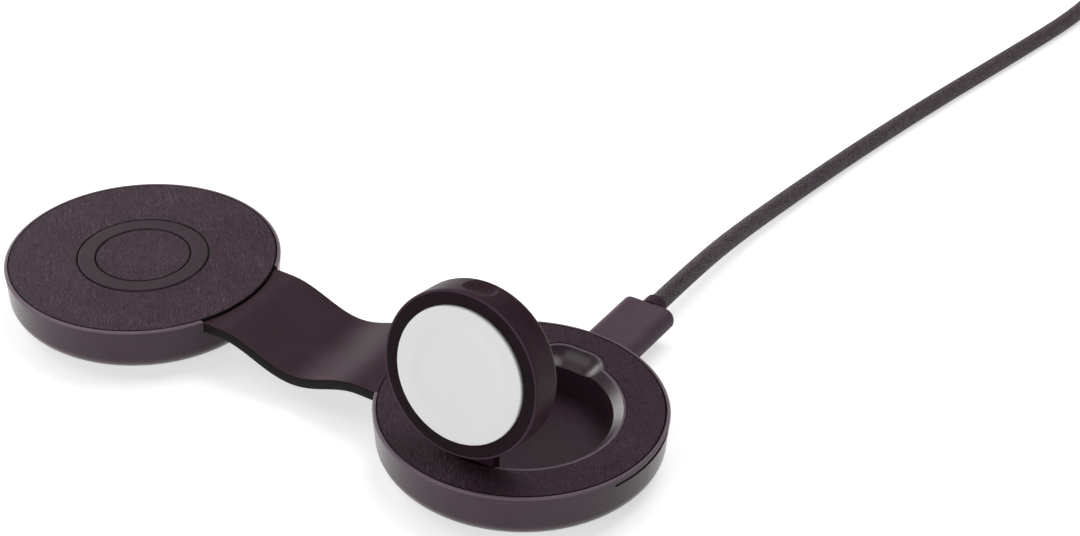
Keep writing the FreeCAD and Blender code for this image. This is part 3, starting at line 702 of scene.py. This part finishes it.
def band_along(name, path, width_axis, half_width, thickness):
    """Flat band of the given thickness along points, with its width along an axis square to them."""
    edge_radius = 0.3 * thickness
    outline = flat_section(half_width, thickness, edge_radius, across=6, corner=2)
    axis = Vector(width_axis)
    verts = []
    last = len(path) - 1
    for k, point in enumerate(path):
        heading = (path[min(k + 1, last)] - path[max(k - 1, 0)]).normalized()
        out = heading.cross(axis)
        verts += [point + axis * across + out * rise for across, rise in outline]
    return new_object(name, verts, ring_faces(len(path), len(outline)))


def bend_points(centre, first, last, steps=4):
    """Points of a bend of the lead in the XZ plane, between two angles in degrees."""
    points = []
    for k in range(steps + 1):
        angle = math.radians(first + (last - first) * k / steps)
        points.append(centre + Vector((math.cos(angle), 0, math.sin(angle))) * lead_bend)
    return points


def make_lead():
    """Flat lead: a foot on each board, a leg up, and a run through the strap."""
    level = strap_middle - lead_drop
    leg = lead_high.x - lead_foot - lead_bend
    base_foot = lead_low.z + lead_thickness / 2
    pad_foot = pad_board_top + lead_thickness / 2
    left_low = Vector((-leg - lead_bend, 0, pad_foot + lead_bend))
    left_high = Vector((-leg + lead_bend, 0, level - lead_bend))
    right_low = Vector((leg + lead_bend, 0, base_foot + lead_bend))
    right_high = Vector((leg - lead_bend, 0, level - lead_bend))
    path = [Vector((lead_low.x, 0, pad_foot))]
    path += bend_points(left_low, 270, 360) + bend_points(left_high, 180, 90)
    for k in range(1, lead_columns):
        x = (leg - lead_bend) * (2 * k / lead_columns - 1)
        path.append(beside_wave(x, 0, -lead_drop))
    path += bend_points(right_high, 90, 0) + bend_points(right_low, 180, 270)
    path.append(Vector((lead_high.x, 0, base_foot)))
    obj = band_along("strap_lead_film", path, (0, 1, 0), lead_high.y, lead_thickness)
    smooth(obj)
    dress(obj, "lead")
    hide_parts("strap_lead")
    return obj


strap = make_strap()
strap_lead = make_lead()
for piece in (strap, strap_lead):
    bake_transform(piece)


# Cable

def cable_points():
    """Control points of the whole cable: route, coil in two layers, tail."""
    origin = Vector((base_centre.x, 0, 0))
    exit_point = Vector((base_centre.x, collar_high.y, (collar_low.z + collar_high.z) / 2))
    points = [exit_point, exit_point + Vector((0, exit_run, 0))]
    points += [origin + Vector(p) * mm for p in cable_route]
    centre = (coil_low + coil_high) / 2
    outer = (coil_high.x - coil_low.x) / 2 - cable_radius
    low = coil_low.z + cable_radius
    high = coil_high.z - cable_radius
    steps = round(2 * coil_turns * coil_points_per_turn)
    # Control points stand a little outside the smooth line that they give
    fit = 1 / math.cos(math.pi / coil_points_per_turn)
    for k in range(steps + 1):
        turns = k / coil_points_per_turn
        inward = min(turns, 2 * coil_turns - turns) / coil_turns
        radius = outer + (coil_inner_radius - outer) * inward
        climb = min(max((turns - coil_turns) / coil_climb_turns + 0.5, 0.0), 1.0)
        angle = math.pi - 2 * math.pi * turns
        spin = Vector((math.cos(angle), math.sin(angle), 0)) * radius
        if 0 < k < steps:
            spin *= fit
        level = low + (high - low) * ease(climb)
        points.append(Vector((centre.x, centre.y, level)) + spin)
    leave = Vector((centre.x + outer, centre.y, 0))
    points += [leave + Vector(p) * mm for p in tail_points]
    return points


def smooth_line(points, steps):
    """Points read from the NURBS spline that has these control points."""
    curve = bpy.data.curves.new("cable_line", "CURVE")
    curve.dimensions = "3D"
    curve.resolution_u = steps
    spline = curve.splines.new("NURBS")
    spline.points.add(len(points) - 1)
    for slot, point in zip(spline.points, points):
        slot.co = (*point, 1.0)
    spline.order_u = 3
    spline.use_endpoint_u = True
    holder = bpy.data.objects.new("cable_line", curve)
    bpy.context.scene.collection.objects.link(holder)
    mesh = bpy.data.meshes.new_from_object(holder)
    line = [v.co.copy() for v in mesh.vertices]
    bpy.data.objects.remove(holder)
    bpy.data.meshes.remove(mesh)
    return line


def make_tie():
    """Woven band wrapped once round the coil's turns, with its end laid over its start."""
    middle = (tie_low.x + tie_high.x) / 2
    inset = tie_thickness / 2
    low = Vector((middle, tie_low.y + inset, tie_low.z + inset))
    high = Vector((middle, tie_high.y - inset, tie_high.z - inset))
    corners = [
        Vector((middle, low.y + tie_bend, high.z - tie_bend)),
        Vector((middle, low.y + tie_bend, low.z + tie_bend)),
        Vector((middle, high.y - tie_bend, low.z + tie_bend)),
        Vector((middle, high.y - tie_bend, high.z - tie_bend)),
    ]
    crown = (low.y + high.y) / 2
    path = [Vector((middle, crown + tie_overlap, high.z))]
    for corner, first in zip(corners, (90, 180, 270, 360)):
        for k in range(tie_bend_steps + 1):
            angle = math.radians(first + 90 * k / tie_bend_steps)
            path.append(corner + Vector((0, math.cos(angle), math.sin(angle))) * tie_bend)
    ramp_start = path[-1].y
    ramp_end = crown + tie_overlap
    shares = [k / tie_overlap_steps for k in range(1, tie_overlap_steps + 1)]
    for share in shares:
        y = ramp_start + (ramp_end - ramp_start) * share
        path.append(Vector((middle, y, high.z + tie_overlap_rise * ease(share))))
    for share in shares:
        path.append(Vector((middle, ramp_end - 2 * tie_overlap * share, high.z + tie_overlap_rise)))
    half_width = (tie_high.x - tie_low.x) / 2
    obj = band_along("coil_tie_band", path, (1, 0, 0), half_width, tie_thickness)
    smooth(obj)
    dress(obj, "tie")
    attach(obj, "base")
    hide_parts("cord_tie")
    return obj


def make_cable(tie):
    """Round tube along the cable's smooth line, with a seam where its UV layer starts and ends."""
    line = smooth_line(cable_points(), cable_steps)
    count = cable_sides + 1
    verts = []
    uvs = []
    run = 0.0
    side = Vector((1, 0, 0))
    for k, point in enumerate(line):
        heading = (line[min(k + 1, len(line) - 1)] - line[max(k - 1, 0)]).normalized()
        side = (side - heading * side.dot(heading)).normalized()
        top = heading.cross(side)
        if k:
            run += (point - line[k - 1]).length
        for s in range(count):
            angle = 2 * math.pi * s / cable_sides
            verts.append(point + (side * math.cos(angle) + top * math.sin(angle)) * cable_radius)
            uvs.append((run, s / cable_sides))
    faces = []
    for ring in range(len(line) - 1):
        for s in range(cable_sides):
            a = ring * count + s
            faces.append((a, a + 1, a + 1 + count, a + count))
    obj = new_object("braided_cable", verts, faces)
    give_uv(obj, uvs)
    smooth(obj, angle=60.0)
    dress(obj, "braid")
    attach(obj, "base")
    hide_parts("cord", "cord_coil", "cord_tail")


make_cable(make_tie())


# Floor, world, lamps and camera

def shown_rays(tree):
    """1 for rays from the camera, in reflections or through glass, and 0 for light on the object."""
    path = tree.nodes.new("ShaderNodeLightPath")
    shown = path.outputs["Is Camera Ray"]
    for ray in ("Is Glossy Ray", "Is Transmission Ray"):
        either = tree.nodes.new("ShaderNodeMath")
        either.operation = "MAXIMUM"
        tree.links.new(shown, either.inputs[0])
        tree.links.new(path.outputs[ray], either.inputs[1])
        shown = either.outputs["Value"]
    return shown


def make_floor():
    """Level pale floor that keeps the object's shadow."""
    corners = [(x * floor_half, y * floor_half, 0) for x, y in ((-1, -1), (1, -1), (1, 1), (-1, 1))]
    floor = new_object("floor", corners, [(0, 1, 2, 3)])
    material = bpy.data.materials.new("pale_floor")
    material.use_nodes = True
    tree = material.node_tree
    tree.nodes.clear()
    diffuse = tree.nodes.new("ShaderNodeBsdfDiffuse")
    diffuse.inputs["Color"].default_value = (floor_tone, floor_tone, floor_tone, 1)
    glow = tree.nodes.new("ShaderNodeEmission")
    strength = tree.nodes.new("ShaderNodeMath")
    strength.operation = "MULTIPLY"
    strength.inputs[1].default_value = floor_glow
    tree.links.new(shown_rays(tree), strength.inputs[0])
    tree.links.new(strength.outputs["Value"], glow.inputs["Strength"])
    both = tree.nodes.new("ShaderNodeAddShader")
    tree.links.new(diffuse.outputs["BSDF"], both.inputs[0])
    tree.links.new(glow.outputs["Emission"], both.inputs[1])
    out = tree.nodes.new("ShaderNodeOutputMaterial")
    tree.links.new(both.outputs["Shader"], out.inputs["Surface"])
    floor.data.materials.append(material)


def make_world():
    """White at the horizon and darker overhead, and weaker as light, most of all from the right."""
    world = bpy.data.worlds.new("studio")
    world.use_nodes = True
    bpy.context.scene.world = world
    tree = world.node_tree
    place = tree.nodes.new("ShaderNodeTexCoord")
    split = tree.nodes.new("ShaderNodeSeparateXYZ")
    tree.links.new(place.outputs["Generated"], split.inputs["Vector"])
    fade = tree.nodes.new("ShaderNodeMapRange")
    fade.interpolation_type = "SMOOTHSTEP"
    fade.inputs["From Max"].default_value = sky_fade
    fade.inputs["To Min"].default_value = 1.0
    fade.inputs["To Max"].default_value = sky_above
    tree.links.new(split.outputs["Z"], fade.inputs["Value"])
    side = tree.nodes.new("ShaderNodeMapRange")
    side.interpolation_type = "SMOOTHSTEP"
    side.inputs["From Min"].default_value = -sky_turn
    side.inputs["From Max"].default_value = sky_turn
    side.inputs["To Min"].default_value = sky_left
    side.inputs["To Max"].default_value = sky_right
    tree.links.new(split.outputs["X"], side.inputs["Value"])
    level = tree.nodes.new("ShaderNodeMix")
    tree.links.new(shown_rays(tree), level.inputs["Factor"])
    tree.links.new(side.outputs["Result"], level.inputs["A"])
    level.inputs["B"].default_value = 1.0
    strength = tree.nodes.new("ShaderNodeMath")
    strength.operation = "MULTIPLY"
    tree.links.new(fade.outputs["Result"], strength.inputs[0])
    tree.links.new(level.outputs["Result"], strength.inputs[1])
    background = tree.nodes["Background"]
    background.inputs["Color"].default_value = (1, 1, 1, 1)
    tree.links.new(strength.outputs["Value"], background.inputs["Strength"])


def make_lamp(name, place, size, power):
    """Round area lamp that faces the object."""
    light = bpy.data.lights.new(name, "AREA")
    light.shape = "DISK"
    light.size = size
    light.energy = power
    lamp = bpy.data.objects.new(name, light)
    bpy.context.scene.collection.objects.link(lamp)
    lamp.location = place
    lamp.rotation_mode = "QUATERNION"
    lamp.rotation_quaternion = (Vector(lamp_aim) - Vector(place)).to_track_quat("-Z", "Y")


def make_camera():
    """Camera at the photograph's viewing angle."""
    azimuth = math.radians(view_azimuth)
    elevation = math.radians(view_elevation)
    roll = math.radians(view_roll)
    level = math.cos(elevation)
    back = Vector((math.sin(azimuth) * level, -math.cos(azimuth) * level, math.sin(elevation)))
    flat_right = Vector((math.cos(azimuth), math.sin(azimuth), 0))
    flat_up = back.cross(flat_right)
    right = flat_right * math.cos(roll) + flat_up * math.sin(roll)
    up = flat_up * math.cos(roll) - flat_right * math.sin(roll)
    data = bpy.data.cameras.new("camera")
    data.sensor_width = sensor
    data.lens = focal_pixels * sensor / picture_width
    data.clip_start = near_clip
    camera = bpy.data.objects.new("camera", data)
    bpy.context.scene.collection.objects.link(camera)
    turn = Matrix((right, up, back)).transposed().to_4x4()
    camera.matrix_world = Matrix.Translation(view_target + back * view_distance) @ turn
    bpy.context.scene.camera = camera


make_floor()
make_world()
for lamp in lamps:
    make_lamp(*lamp)
make_camera()
bpy.context.scene.view_settings.view_transform = "Standard"
